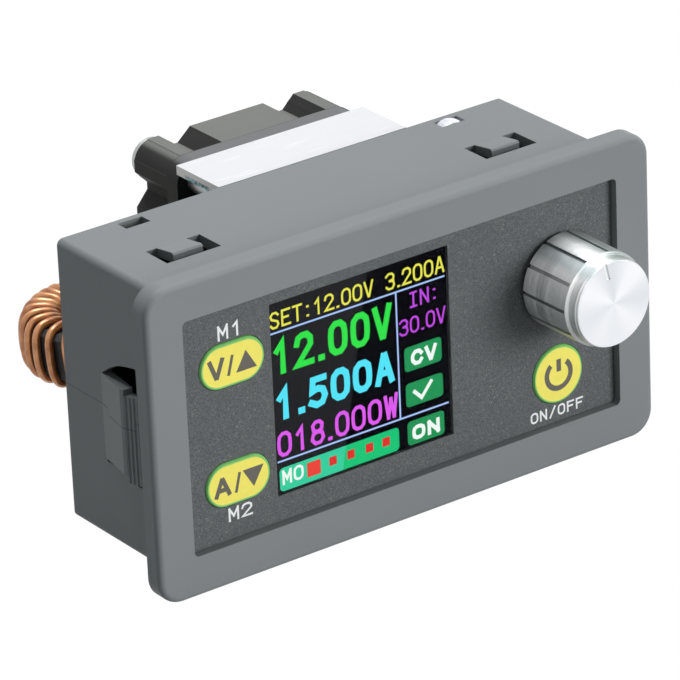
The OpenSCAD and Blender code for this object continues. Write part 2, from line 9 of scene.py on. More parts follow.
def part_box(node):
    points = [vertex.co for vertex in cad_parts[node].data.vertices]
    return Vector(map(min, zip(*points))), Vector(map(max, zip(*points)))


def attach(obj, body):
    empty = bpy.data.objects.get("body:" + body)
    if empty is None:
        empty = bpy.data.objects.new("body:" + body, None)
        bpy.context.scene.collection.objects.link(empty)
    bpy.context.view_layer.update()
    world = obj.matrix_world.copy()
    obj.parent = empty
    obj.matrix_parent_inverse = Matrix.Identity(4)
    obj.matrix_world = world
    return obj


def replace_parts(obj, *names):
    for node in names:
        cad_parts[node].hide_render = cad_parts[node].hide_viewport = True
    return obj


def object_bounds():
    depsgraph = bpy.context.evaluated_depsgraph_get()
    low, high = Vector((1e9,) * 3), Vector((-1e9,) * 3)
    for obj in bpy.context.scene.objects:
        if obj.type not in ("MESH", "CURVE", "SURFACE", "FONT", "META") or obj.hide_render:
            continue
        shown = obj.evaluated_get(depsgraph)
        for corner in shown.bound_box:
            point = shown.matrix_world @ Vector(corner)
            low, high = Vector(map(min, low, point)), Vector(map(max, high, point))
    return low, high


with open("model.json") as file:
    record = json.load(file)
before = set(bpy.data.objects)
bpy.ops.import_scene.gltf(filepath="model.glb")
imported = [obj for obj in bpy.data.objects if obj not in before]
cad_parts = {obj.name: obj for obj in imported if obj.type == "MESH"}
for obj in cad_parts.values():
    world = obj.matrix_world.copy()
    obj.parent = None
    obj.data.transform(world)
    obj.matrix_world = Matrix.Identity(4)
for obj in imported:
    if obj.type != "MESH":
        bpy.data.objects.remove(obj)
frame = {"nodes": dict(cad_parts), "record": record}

mm = 0.001
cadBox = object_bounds()
print("frame loaded:", len(frame["nodes"]), "nodes")


# camera, lamps, floor and background

camera = {
    "azimuth": -35.27,
    "elevation": 24.63,
    "roll": -2.49,
    "distance": 696.4,
    "lens": 287.3,
    "target": (-1.58, 10.0, -0.31),
}

# direction, level and width in degrees
lamps = {
    "frontLamp": ((0.45, -0.85, 0.16), 0.89, 34),
    "topLamp": ((0.10, 0.26, 0.95), 0.84, 30),
}

# what the floor and the sky give as light, and how far the floor reaches in metres
room = {
    "floor": (0.25, 0.26, 0.26, 1),
    "sky": (0.145, 0.156, 0.165, 1),
    "reach": 4,
}


def addCamera(spec):
    turn, lift, roll = (math.radians(spec[key]) for key in ("azimuth", "elevation", "roll"))
    back = Vector((math.sin(turn) * math.cos(lift), -math.cos(turn) * math.cos(lift), math.sin(lift)))
    side = back.cross(Vector((0, 0, -1))).normalized()
    above = back.cross(side)
    right = side * math.cos(roll) + above * math.sin(roll)
    up = above * math.cos(roll) - side * math.sin(roll)
    data = bpy.data.cameras.new("camera")
    data.lens = spec["lens"]
    data.clip_start = 0.01
    data.clip_end = 20
    body = bpy.data.objects.new("camera", data)
    bpy.context.scene.collection.objects.link(body)
    spot = (Vector(spec["target"]) + back * spec["distance"]) * mm
    body.matrix_world = Matrix.Translation(spot) @ Matrix((right, up, back)).transposed().to_4x4()
    bpy.context.scene.camera = body


def addSun(name, toward, level, softness):
    data = bpy.data.lights.new(name, "SUN")
    data.energy = level * math.pi
    data.angle = math.radians(softness)
    sun = bpy.data.objects.new(name, data)
    bpy.context.scene.collection.objects.link(sun)
    sun.rotation_euler = Vector(toward).to_track_quat("Z", "Y").to_euler()


addCamera(camera)
for name, (toward, level, softness) in lamps.items():
    addSun(name, toward, level, softness)
bpy.context.scene.view_settings.view_transform = "Standard"


# shader arithmetic and the finishes

def ink(code):
    def linear(part):
        value = int(part, 16) / 255
        return value / 12.92 if value < 0.04045 else ((value + 0.055) / 1.055) ** 2.4
    return (*(linear(code[at:at + 2]) for at in (1, 3, 5)), 1)


class Wire:
    # one output of a node, which takes plain arithmetic
    def __init__(self, owner, socket):
        self.owner = owner
        self.socket = socket

    def out(self, name):
        return Wire(self.owner, self.socket.node.outputs[name])

    def calc(self, operation, *values):
        return self.owner.node("ShaderNodeMath", {"operation": operation}, dict(enumerate(values)))

    def __add__(self, other):
        return self.calc("ADD", self, other)

    def __sub__(self, other):
        return self.calc("SUBTRACT", self, other)

    def __rsub__(self, other):
        return self.calc("SUBTRACT", other, self)

    def __mul__(self, other):
        return self.calc("MULTIPLY", self, other)

    __radd__ = __add__
    __rmul__ = __mul__

    def __abs__(self):
        return self.calc("ABSOLUTE", self)

    def most(self, other):
        return self.calc("MAXIMUM", self, other)

    def least(self, other):
        return self.calc("MINIMUM", self, other)

    def root(self):
        return self.calc("SQRT", self)

    def wave(self):
        return self.calc("SINE", self)

    def angleOver(self, across):
        return self.calc("ARCTAN2", self, across)

    def over(self, edge, blur=0.04):
        # 0 under the edge, 1 over it
        spec = {"interpolation_type": "SMOOTHSTEP"}
        return self.owner.node("ShaderNodeMapRange", spec, {0: self, 1: edge - blur, 2: edge + blur})

    def under(self, edge, blur=0.04):
        return 1 - self.over(edge, blur)


class NodeSet:
    # the nodes of one material or world
    def __init__(self, owner):
        self.owner = owner
        owner.use_nodes = True
        self.tree = owner.node_tree
        self.tree.nodes.clear()

    def node(self, kind, settings=None, inputs=None, out=0):
        made = self.tree.nodes.new(kind)
        for key, value in (settings or {}).items():
            if key == "stops":
                self.fillRamp(made.color_ramp.elements, value)
            else:
                setattr(made, key, value)
        for key, value in (inputs or {}).items():
            if isinstance(value, Wire):
                self.tree.links.new(value.socket, made.inputs[key])
            else:
                made.inputs[key].default_value = value
        return Wire(self, made.outputs[out]) if len(made.outputs) else made

    def fillRamp(self, elements, stops):
        # colours at given places between 0 and 1
        while len(elements) < len(stops):
            elements.new(1.0)
        for element, (place, code) in zip(elements, stops):
            element.position = place
            element.color = ink(code)

    def blend(self, share, low, high):
        spec = {"data_type": "RGBA", "clamp_factor": True}
        return self.node("ShaderNodeMix", spec, {0: share, 6: low, 7: high}, out=2)

    def seen(self):
        # 1 for what the camera, a reflection or a clear pane shows, 0 for light
        path = self.node("ShaderNodeLightPath", out="Is Camera Ray")
        return path.most(path.out("Is Glossy Ray")).most(path.out("Is Transmission Ray"))

    def finish(self, shade, output="ShaderNodeOutputMaterial"):
        self.node(output, None, {"Surface": shade})
        return self.owner


class Finish(NodeSet):
    # one material, with Object coordinates in millimetres
    def __init__(self, name):
        super().__init__(bpy.data.materials.new(name))
        place = self.node("ShaderNodeTexCoord", out="Object")
        self.place = self.node("ShaderNodeVectorMath", {"operation": "SCALE"}, {0: place, "Scale": 1000})
        split = self.node("ShaderNodeSeparateXYZ", inputs={0: self.place})
        self.x, self.y, self.z = (split.out(axis) for axis in "XYZ")

    def noise(self, size, detail=2, stretch=(1, 1, 1)):
        # size is the length of one blotch in millimetres
        scale = tuple(part / size for part in stretch)
        where = self.node("ShaderNodeVectorMath", {"operation": "MULTIPLY"}, {0: self.place, 1: scale})
        return self.node("ShaderNodeTexNoise", None, {"Vector": where, "Scale": 1, "Detail": detail})

    def lines(self, along, size, detail=2):
        # noise that changes along one value only
        spec = {"noise_dimensions": "1D"}
        return self.node("ShaderNodeTexNoise", spec, {"W": along, "Scale": 1 / size, "Detail": detail})

    def tint(self, code, share, amount):
        # the colour, a little darker and lighter by share
        base = ink(code)
        low = (*(part * (1 - amount) for part in base[:3]), 1)
        high = (*(min(1, part * (1 + amount)) for part in base[:3]), 1)
        return self.blend(share, low, high)

    def bump(self, height, depth, under=None):
        inputs = {"Height": height, "Distance": depth * mm, "Strength": 1.0}
        if under:
            inputs["Normal"] = under
        return self.node("ShaderNodeBump", None, inputs)

    def ringRadius(self, centreX, centreZ):
        across = self.x - centreX
        up = self.z - centreZ
        return (across * across + up * up).root()

    def frameLine(self, centreX, centreZ, wide, high, width):
        # 1 on the outline of a rectangle that faces the back
        out = (abs(self.x - centreX) - wide / 2).most(abs(self.z - centreZ) - high / 2)
        return abs(out).under(width / 2, width / 4)

    def inBox(self, centreX, centreZ, wide, high, blur=0.05):
        out = (abs(self.x - centreX) - wide / 2).most(abs(self.z - centreZ) - high / 2)
        return out.under(0, blur)

    def surface(self, **inputs):
        names = {key.replace("_", " "): value for key, value in inputs.items()}
        shade = self.node("ShaderNodeBsdfPrincipled", None, names)
        return self.finish(shade)


def floorFinish():
    # a mid grey to light, and white to the eye
    made = Finish("paleFloor")
    seen = made.seen()
    shade = made.blend(seen, room["floor"], (0, 0, 0, 1))
    glow = made.blend(seen, (0, 0, 0, 1), (1, 1, 1, 1))
    return made.surface(Base_Color=shade, Roughness=0.9, Specular_IOR_Level=0.1,
                        Emission_Color=glow, Emission_Strength=1.0)


def addWorld():
    made = NodeSet(bpy.data.worlds.new("studio"))
    colour = made.blend(made.seen(), room["sky"], (1, 1, 1, 1))
    back = made.node("ShaderNodeBackground", None, {"Color": colour, "Strength": 1.0})
    bpy.context.scene.world = made.finish(back, "ShaderNodeOutputWorld")


def addFloor(level):
    bpy.ops.object.select_all(action="DESELECT")
    bpy.ops.mesh.primitive_circle_add(vertices=96, radius=room["reach"], fill_type="NGON", location=(0, 0, level))
    floor = bpy.context.object
    floor.name = "floor"
    bpy.ops.object.transform_apply()
    floor.data.materials.append(floorFinish())


addWorld()
addFloor(cadBox[0].z)
print("camera, lamps and floor set")


# places on the object that the finishes and the rear parts share, in millimetres
knobSpot = {"x": 25.3, "z": 4.5, "face": -12.7, "grooveFloor": 6.2, "grooveEnd": -10.7}
fanSpot = {"x": 5.4, "z": 3.8, "hubEnd": 43.0, "top": 18.0, "flangeEnd": 36.1, "cornerX": -4.6, "cornerZ": 18.3}
seamSpot = {"z": -0.3, "sides": 34.6, "front": 0.4, "back": 22.2, "clips": -35.7, "clipDrop": 1.0, "width": 0.07}
keySpot = {"pillX": -26.45, "pillHalf": 1.9, "pillRadius": 2.63, "voltsZ": 8.2, "ampsZ": -8.0,
           "powerX": 24.4, "powerZ": -8.95, "powerRadius": 3.72, "face": -1.9}
# the slanting edge of a reflection that is painted on the screen as a paler glow
paneReflection = {"x": -7.45, "z": 1.0, "lean": 0.1937, "blur": 0.12}

# middle X and Z, radius, and where the top of the can lies
cans = ((-18, -11.9, 5, 37.6), (-22.6, 9.6, 4, 33.6), (-14, 9.6, 4, 33.6), (27.6, 9.7, 4, 33.6))

# middle X and Z, width and height
boardMarks = {
    "rear": 21.55,
    "outlines": ((27.6, 9.7, 9.2, 9.2), (-18, -11.9, 11.4, 11.4), (-22.6, 9.6, 9, 9), (-14, 9.6, 9, 9),
                 (5.4, 3.8, 31.4, 31.4), (-29.6, -12.5, 4.4, 7.6), (28.2, -6.04, 11, 21.6)),
    "tinned": ((20.4, -6.04, 2.6, 19), (-30.4, 4.2, 2.4, 8.4)),
}


def mouldedPlastic(name, colour, rough=0.45, grain=0.5, depth=0.02, drift=0.05, shine=0.3):
    made = Finish(name)
    cloud = made.noise(9, 3)
    speck = made.noise(grain, 2)
    tone = made.tint(colour, cloud * 0.6 + speck * 0.4, drift)
    gloss = rough - 0.06 + speck * 0.12
    return made.surface(Base_Color=tone, Roughness=gloss, Specular_IOR_Level=shine,
                        Normal=made.bump(speck, depth))


def sheenedBlackPlastic():
    # black moulding with a painted sheen, pale, on its upward faces and its upper left corner, and a line round the
    # fan's flange
    made = Finish("fanBlack")
    up = made.node("ShaderNodeNewGeometry", out="Normal")
    lift = made.node("ShaderNodeSeparateXYZ", inputs={0: up}, out="Z")
    cloud = made.noise(7, 3)
    speck = made.noise(0.4, 2)
    tone = made.blend(cloud, ink("#2c2d2c"), ink("#353634"))
    # the upper left corner gets the painted sheen too
    corner = made.z.over(fanSpot["cornerZ"], 0.25) * made.x.under(fanSpot["cornerX"])
    # painted sheen: pale tones on the upward faces, where light falls
    sheenTone = made.blend(cloud, ink("#737471"), ink("#7e7f7b"))
    seam = abs(made.y - fanSpot["flangeEnd"]).under(0.1, 0.08) * made.z.over(fanSpot["top"])
    sheenTone = made.blend(made.y.under(fanSpot["flangeEnd"]), sheenTone, ink("#747577"))
    tone = made.blend(lift.over(0.93, 0.06).most(corner), tone, sheenTone)
    tone = made.blend(seam * 0.5, tone, ink("#2c2d2c"))
    return made.surface(Base_Color=tone, Roughness=0.56 + speck * 0.1, Specular_IOR_Level=0.15,
                        Normal=made.bump(speck, 0.02))


def housingPlastic():
    made = Finish("housingPlastic")
    cloud = made.noise(14, 3)
    speck = made.noise(0.28, 2)
    tone = made.tint("#838789", cloud * 0.5 + speck * 0.5, 0.05)
    # the mould's parting line, which steps down on the left clip
    side = abs(made.x).over(seamSpot["sides"]) * made.y.over(seamSpot["front"]) * made.y.under(seamSpot["back"])
    drop = made.x.under(seamSpot["clips"]) * seamSpot["clipDrop"]
    seam = abs(made.z - seamSpot["z"] + drop).under(seamSpot["width"], 0.05) * side
    tone = made.blend(seam * 0.6, tone, ink("#3c4143"))
    normal = made.bump(seam, -0.05, made.bump(speck, 0.012))
    return made.surface(Base_Color=tone, Roughness=0.46 + speck * 0.12, Specular_IOR_Level=0.2, Normal=normal)


def overlayFilm():
    made = Finish("overlayFilm")
    speck = made.noise(0.16, 2)
    fleck = made.noise(0.32, 3)
    cloud = made.noise(5, 2)
    tone = made.blend(speck.over(0.5, 0.14), ink("#4f5255"), ink("#696c6d"))
    tone = made.blend(cloud.over(0.5, 0.3) * 0.3, tone, ink("#54585a"))
    tone = made.blend(fleck.over(0.66, 0.04) * 0.3, tone, ink("#9a9c9b"))
    return made.surface(Base_Color=tone, Roughness=0.55 + speck * 0.12, Specular_IOR_Level=0.2,
                        Normal=made.bump(speck, 0.01))


def keyYellow():
    # yellow print on a green translucent key
    made = Finish("keyYellow")
    spot = keySpot
    along = (abs(made.x - spot["pillX"]) - spot["pillHalf"]).most(0)
    off = abs(made.z - spot["voltsZ"]).least(abs(made.z - spot["ampsZ"]))
    pillEdge = (along * along + off * off).root() - spot["pillRadius"]
    roundEdge = made.ringRadius(spot["powerX"], spot["powerZ"]) - spot["powerRadius"]
    face = pillEdge.least(roundEdge).under(0, 0.06) * made.y.under(spot["face"])
    mottle = made.noise(0.8, 3)
    yellow = made.tint("#fbee6e", mottle, 0.05)
    green = made.tint("#82cd74", mottle, 0.08)
    tone = made.blend(face, green, yellow)
    return made.surface(Base_Color=tone, Roughness=0.42 + mottle * 0.1, Specular_IOR_Level=0.25,
                        Normal=made.bump(mottle, 0.01))


def flatPrint(name, colour, rough=0.5):
    made = Finish(name)
    speck = made.noise(0.3, 2)
    return made.surface(Base_Color=made.tint(colour, speck, 0.05), Roughness=rough)


def glowing(made, glow, base=(0.005, 0.005, 0.005, 1)):
    # a dark dull surface that gives its own light
    return made.surface(Base_Color=base, Roughness=0.9, Specular_IOR_Level=0.0,
                        Emission_Color=glow, Emission_Strength=1.0)


def paneReflectionMask(made):
    # 1 on the left of the slanting edge, where a reflection on the pane is painted as a paler glow
    return (made.x - paneReflection["x"] - (made.z - paneReflection["z"]) * paneReflection["lean"]).under(0, paneReflection["blur"])


def litPart(name, colour, dot=0.23):
    # a lit part of the screen, with its faint dot grid
    made = Finish(name)
    turn = 2 * math.pi / dot
    cell = (made.x * turn).wave() * (made.z * turn).wave() * 0.5 + 0.5
    base = ink(colour)
    low = (*(part * 0.86 for part in base[:3]), 1)
    return glowing(made, made.blend(cell, low, base))


def reflectedStrip(name, left, right):
    # a lit strip with a painted reflection: it turns paler left of the slanting edge
    made = Finish(name)
    return glowing(made, made.blend(paneReflectionMask(made), ink(right), ink(left)))


def lcdBlack():
    made = Finish("lcdBlack")
    cloud = made.noise(6, 2)
    # painted reflection: the dark screen glows a little left of the slanting edge
    glow = made.blend(paneReflectionMask(made), (0.0008, 0.0008, 0.0016, 1), (0.0150, 0.0150, 0.0170, 1))
    return glowing(made, glow, made.tint("#060608", cloud, 0.2))


def clearPane():
    made = Finish("clearPane")
    smear = made.noise(5, 2)
    return made.surface(Base_Color=(1, 1, 1, 1), Roughness=0.02 + smear * 0.03,
                        Transmission_Weight=1.0, IOR=1.05)


# painted highlights and shade on the knob's skin round its axis, in place of its reflections: 0.5 is the -X side,
# and it rises towards the top
knobPaintedLight = (
    (0.0, "#c0c4c4"), (0.30, "#a6aaa6"), (0.36, "#b6bab7"), (0.42, "#a9aeac"), (0.47, "#c2c7c7"),
    (0.51, "#dfe2e3"), (0.57, "#f4f5f6"), (0.595, "#fdfdfd"), (0.62, "#fafbfb"), (0.645, "#c4cccd"),
    (0.68, "#b4bcbe"), (0.70, "#dcdfe0"), (0.73, "#f4f5f6"), (0.76, "#c0c8c6"), (0.80, "#a4adaa"), (1.0, "#c0c4c4"),
)


def turnedAluminium(name, rough, side, face):
    # lathe lines and painted bands of highlight and shade on the skin, painted shade in the grooves, fine rings and
    # soft rays of painted highlight on the face
    made = Finish(name)
    across = made.x - knobSpot["x"]
    up = made.z - knobSpot["z"]
    radius = (across * across + up * up).root()
    angle = up.angleOver(across)
    turn = up.angleOver(across * -1) * (0.5 / math.pi) + 0.5
    skin = made.lines(made.y, 0.12, 2)
    rings = made.lines(radius, 0.08, 3)
    isFace = made.y.under(knobSpot["face"], 0.02)
    cloud = made.noise(3, 2)
    # soft rays of painted highlight on the face
    paintedRays = (angle * 4 - 1.9).wave() * 0.3 + (angle * 3 - 0.6).wave() * 0.25 + 0.5
    tone = made.node("ShaderNodeValToRGB", {"stops": knobPaintedLight}, {0: turn + skin * 0.006})
    tone = made.blend(skin.over(0.5, 0.2) * 0.25, tone, ink("#767b7c"))
    # painted shade at the bottom of the grooves
    grooveShade = radius.under(knobSpot["grooveFloor"], 0.03) * made.y.over(knobSpot["grooveEnd"])
    tone = made.blend(grooveShade * 0.6, tone, ink("#5d6162"))
    tone = made.blend(isFace, tone, made.blend(paintedRays + rings * 0.2, ink("#d1d5d9"), ink("#e8e9ec")))
    height = skin * (1 - isFace) * side + rings * isFace * face
    gloss = rough + (1 - isFace) * 0.08 + cloud * 0.04
    return made.surface(Base_Color=tone, Metallic=isFace * 0.1 + 0.8, Roughness=gloss,
                        Specular_IOR_Level=0.8, Normal=made.bump(height, 1.0))


def metal(name, colour, rough=0.3, grain=0.4, depth=0.004):
    made = Finish(name)
    speck = made.noise(grain, 3)
    gloss = rough - 0.05 + speck * 0.1
    return made.surface(Base_Color=made.tint(colour, speck, 0.08), Metallic=1.0,
                        Roughness=gloss, Normal=made.bump(speck, depth))


# where the heatsink's left end is duller, stained and in shade
sinkSpot = {"endX": -9.55, "stainX": -9.2, "stainZ": 18.0, "stainFront": 26.4, "stainBack": 31.5,
            "shadeZ": 17.3, "shadeFront": 27.0}


def sinkAluminium():
    # extruded, with long faint streaks and dull blue-grey stains inside the left end
    made = Finish("sinkAluminium")
    spot = sinkSpot
    streak = made.noise(0.35, 3, (0.06, 1, 1))
    cloud = made.noise(7, 2, (0.5, 1, 1))
    scratch = made.noise(1.1, 2, (0.12, 1.3, 1)).over(0.66, 0.02)
    tone = made.tint("#d3d4d7", streak * 0.6 + cloud * 0.4, 0.03)
    tone = made.blend(scratch * 0.5, tone, ink("#e2e3e8"))
    fleck = made.noise(0.45, 3)
    tone = made.blend(made.x.under(spot["endX"], 0.02) * 0.8, tone, ink("#c4c4c0"))
    lower = made.z.under(spot["stainZ"], 0.2) * made.y.over(spot["stainFront"], 0.5)
    stain = made.blend(fleck.over(0.5, 0.08), ink("#26383b"), ink("#7fa9ad"))
    tone = made.blend(lower * made.x.under(spot["stainX"], 0.2) * made.y.under(spot["stainBack"], 1.0), tone, stain)
    shade = made.z.under(spot["shadeZ"], 0.1) * made.y.over(spot["shadeFront"], 0.3)
    tone = made.blend(shade * 0.8, tone, ink("#3a4446"))
    return made.surface(Base_Color=tone, Metallic=0.5, Roughness=0.42 + streak * 0.12,
                        Specular_IOR_Level=0.3, Normal=made.bump(streak, 0.012))


def boardGreen():
    # solder mask over copper, with tinned strips and printed outlines on the rear face
    made = Finish("boardGreen")
    cloud = made.noise(6, 3)
    track = made.noise(2.6, 0, (1, 0.01, 1)).over(0.52, 0.015)
    tone = made.blend(track, ink("#0e4a2c"), ink("#166238"))
    tone = made.blend(cloud * 0.25, tone, ink("#0a3a22"))
    rear = made.y.over(boardMarks["rear"], 0.02)
    printed = tin = 0
    for spot in boardMarks["outlines"]:
        printed = made.frameLine(*spot, 0.2).most(printed)
    for spot in boardMarks["tinned"]:
        tin = made.inBox(*spot).most(tin)
    tone = made.blend(printed * rear, tone, ink("#e4e8e2"))
    tone = made.blend(tin * rear, tone, ink("#c3c6c4"))
    height = track * 0.5 + printed * 0.4 + tin * 1.2
    return made.surface(Base_Color=tone, Metallic=tin * rear, Roughness=0.34 + cloud * 0.1,
                        Normal=made.bump(height * rear, 0.03))


def copperWire():
    # enamelled wire, lighter where the enamel is thin
    made = Finish("copperWire")
    cloud = made.noise(1.8, 3)
    speck = made.noise(0.25, 2)
    tone = made.blend(cloud.over(0.5, 0.2), ink("#a8673a"), ink("#d39561"))
    tone = made.blend(speck.over(0.68, 0.08) * 0.3, tone, ink("#7a4322"))
    return made.surface(Base_Color=tone, Metallic=0.55, Roughness=0.30 + speck * 0.1,
                        Coat_Weight=0.5, Coat_Roughness=0.12, Normal=made.bump(cloud, 0.02))


def sleeveBlack():
    # shrink sleeve with a pale stripe, and a bare can top with its vent
    made = Finish("sleeveBlack")
    speck = made.noise(0.5, 2)
    tone = made.tint("#17181c", speck, 0.2)
    shine = 0.24 + speck * 0.1
    tops = stripes = vents = 0
    for x, z, radius, end in cans:
        away = made.ringRadius(x, z)
        near = away.under(radius + 0.3)
        isTop = made.y.over(end - 0.2)
        tops = (away.under(radius - 0.62) * isTop).most(tops)
        cross = abs(made.x - x).least(abs(made.z - z)).under(0.16, 0.04) * away.under(radius * 0.62)
        vents = (cross * isTop).most(vents)
        stripe = abs(made.z - z).under(radius * 0.32) * made.x.under(x - radius * 0.5) * near
        stripes = stripe.most(stripes)
    tone = made.blend(stripes, tone, ink("#c9ccd2"))
    tone = made.blend(tops, tone, ink("#d5d7d9"))
    tone = made.blend(vents, tone, ink("#6f7275"))
    return made.surface(Base_Color=tone, Metallic=tops, Roughness=shine + tops * 0.1,
                        Normal=made.bump(speck * 0.15 - vents, 0.1))


def softGlue():
    made = Finish("softGlue")
    cloud = made.noise(1.2, 2)
    return made.surface(Base_Color=made.tint("#eceef8", cloud, 0.04), Roughness=0.3,
                        Subsurface_Weight=0.3, Subsurface_Radius=(0.001, 0.001, 0.001),
                        Normal=made.bump(cloud, 0.05))


def foamGrey():
    made = Finish("foamGrey")
    cell = made.noise(0.35, 3)
    return made.surface(Base_Color=made.tint("#5f6265", cell, 0.25), Roughness=0.95, Normal=made.bump(cell, 0.15))


finishes = {
    "housing": housingPlastic(),
    "film": overlayFilm(),
    "key": keyYellow(),
    "legend": flatPrint("legendOlive", "#57534a", 0.55),
    "white": flatPrint("labelWhite", "#f0f2f3", 0.5),
    "pane": clearPane(),
    "lcd": lcdBlack(),
    "black": sheenedBlackPlastic(),
    "dark": mouldedPlastic("darkPlastic", "#222325", 0.5, 0.4, 0.015, 0.12, 0.25),
    "chip": mouldedPlastic("chipBlack", "#1b1c1e", 0.55, 0.2, 0.02, 0.15),
    "knobSkin": turnedAluminium("turnedAluminium", 0.30, 0.09, 0.0015),
    "steel": metal("brightSteel", "#cfd2d6", 0.24),
    "screw": metal("zincScrew", "#a9adac", 0.42, 0.3, 0.01),
    "zinc": metal("zincPlate", "#c9cdd4", 0.3, 0.8),
    "gold": metal("goldPin", "#d9b25a", 0.25),
    "solder": metal("solderTin", "#c8cbce", 0.28, 0.7, 0.02),
    "sink": sinkAluminium(),
    "board": boardGreen(),
    "pad": mouldedPlastic("padTeal", "#5f9a9c", 0.7, 0.3, 0.05, 0.2),
    "copper": copperWire(),
    "ferrite": mouldedPlastic("ferriteGrey", "#3a3c3e", 0.5, 0.3, 0.05, 0.25),
    "sleeve": sleeveBlack(),
    "terminal": mouldedPlastic("terminalGreen", "#2f8a55", 0.4, 0.5, 0.015, 0.06),
    "glue": softGlue(),
    "tray": mouldedPlastic("trayWhite", "#dfe2e4", 0.5, 0.5, 0.01, 0.03),
    "foam": foamGrey(),
    "rim": mouldedPlastic("sleeveRim", "#26272b", 0.3, 0.5, 0.01, 0.1),
    "ceramic": mouldedPlastic("ceramicTan", "#9c8467", 0.5, 0.2, 0.01, 0.1),
}

slotFinish = {
    "housing_grey": "housing", "overlay_film": "film", "window_clear": "pane", "lcd_glass": "lcd",
    "tray_white": "tray", "foam_grey": "foam", "key_yellow": "key", "black_plastic": "dark",
    "switch_black": "dark", "zinc_plate": "zinc", "steel": "steel", "screw_black": "screw",
    "knob_aluminium": "knobSkin",
    "board_green": "board", "chip_black": "chip", "gold_pin": "gold", "pad_teal": "pad",
    "sink_aluminium": "sink", "fan_black": "black", "copper": "copper", "ferrite_grey": "ferrite",
    "sleeve_black": "sleeve", "terminal_green": "terminal", "glue_white": "glue",
}

for part in frame["record"]["subparts"]:
    piece = frame["nodes"][part["node"]]
    piece.data.materials.clear()
    piece.data.materials.append(finishes[slotFinish[part["material_slot"]]])
print("finishes made:", len(finishes))


# modelling tools

def select(piece):
    bpy.ops.object.select_all(action="DESELECT")
    piece.select_set(True)
    bpy.context.view_layer.objects.active = piece


def settle(piece, name, finish, body="module", smooth=None):
    # place goes into the mesh, then the piece gets its name, finish and body
    select(piece)
    bpy.ops.object.transform_apply(location=True, rotation=True, scale=True)
    if smooth:
        bpy.ops.object.shade_smooth_by_angle(angle=math.radians(smooth))
    piece.name = name
    piece.data.name = name
    piece.data.materials.clear()
    piece.data.materials.append(finishes[finish])
    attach(piece, body)
    return piece


def applyModifier(piece, kind, **settings):
    select(piece)
    added = piece.modifiers.new(kind.lower(), kind)
    for key, value in settings.items():
        setattr(added, key, value)
    bpy.ops.object.modifier_apply(modifier=added.name)


def block(low, high, edge=0.0, steps=2):
    # a box between two corners in millimetres, with rounded edges
    low, high = Vector(low) * mm, Vector(high) * mm
    bpy.ops.object.select_all(action="DESELECT")
    bpy.ops.mesh.primitive_cube_add(size=1, location=(low + high) / 2)
    made = bpy.context.object
    made.scale = high - low
    bpy.ops.object.transform_apply(location=True, rotation=True, scale=True)
    if edge:
        applyModifier(made, "BEVEL", width=edge * mm, segments=steps, limit_method="NONE")
    return made


def roundPost(x, z, front, back, radius, edge=0.1, sides=32):
    # a short cylinder along Y with rounded rims
    bpy.ops.object.select_all(action="DESELECT")
    middle = Vector((x, (front + back) / 2, z)) * mm
    bpy.ops.mesh.primitive_cylinder_add(vertices=sides, radius=radius * mm, depth=abs(back - front) * mm,
                                        location=middle, rotation=(math.pi / 2, 0, 0))
    made = bpy.context.object
    bpy.ops.object.transform_apply(location=True, rotation=True, scale=True)
    if edge:
        applyModifier(made, "BEVEL", width=edge * mm, segments=2, limit_method="ANGLE",
                      angle_limit=math.radians(50))
    return made


def torus(x, z, y, radius, width, sides, small):
    # a ring that faces the front, with a round section
    bpy.ops.object.select_all(action="DESELECT")
    bpy.ops.mesh.primitive_torus_add(location=Vector((x, y, z)) * mm, rotation=(math.pi / 2, 0, 0),
                                     major_segments=sides, minor_segments=small,
                                     major_radius=radius * mm, minor_radius=width * mm)
    bpy.ops.object.transform_apply(location=True, rotation=True, scale=True)
    return bpy.context.object


def joined(pieces):
    bpy.ops.object.select_all(action="DESELECT")
    for piece in pieces:
        piece.select_set(True)
    bpy.context.view_layer.objects.active = pieces[0]
    bpy.ops.object.join()
    return bpy.context.object


def editFaces(piece, test):
    # enters edit mode with the faces that pass the test selected
    select(piece)
    bpy.ops.object.mode_set(mode="EDIT")
    bpy.ops.mesh.select_mode(type="FACE")
    bpy.ops.mesh.select_all(action="DESELECT")
    bpy.ops.object.mode_set(mode="OBJECT")
    for face in piece.data.polygons:
        face.select = test(face)
    bpy.ops.object.mode_set(mode="EDIT")


def leaveEdit():
    bpy.ops.object.mode_set(mode="OBJECT")


def thicken(thick):
    # in edit mode, the selected faces get a back and every face turns outward
    bpy.ops.mesh.extrude_region_move(TRANSFORM_OT_translate={"value": (0, thick * mm, 0)})
    bpy.ops.mesh.select_all(action="SELECT")
    bpy.ops.mesh.normals_make_consistent(inside=False)
    leaveEdit()


def plate(left, right, low, high, y, thick, corner=0.0, steps=6):
    # a thin sheet that faces the front, with round corners
    bpy.ops.object.select_all(action="DESELECT")
    middle = Vector(((left + right) / 2, y, (low + high) / 2)) * mm
    bpy.ops.mesh.primitive_plane_add(size=1, location=middle, rotation=(math.pi / 2, 0, 0))
    made = bpy.context.object
    made.scale = ((right - left) * mm, (high - low) * mm, 1)
    bpy.ops.object.transform_apply(location=True, rotation=True, scale=True)
    bpy.ops.object.mode_set(mode="EDIT")
    bpy.ops.mesh.select_all(action="SELECT")
    if corner:
        bpy.ops.mesh.bevel(offset=corner * mm, segments=steps, affect="VERTICES")
        bpy.ops.mesh.select_all(action="SELECT")
    thicken(thick)
    return made


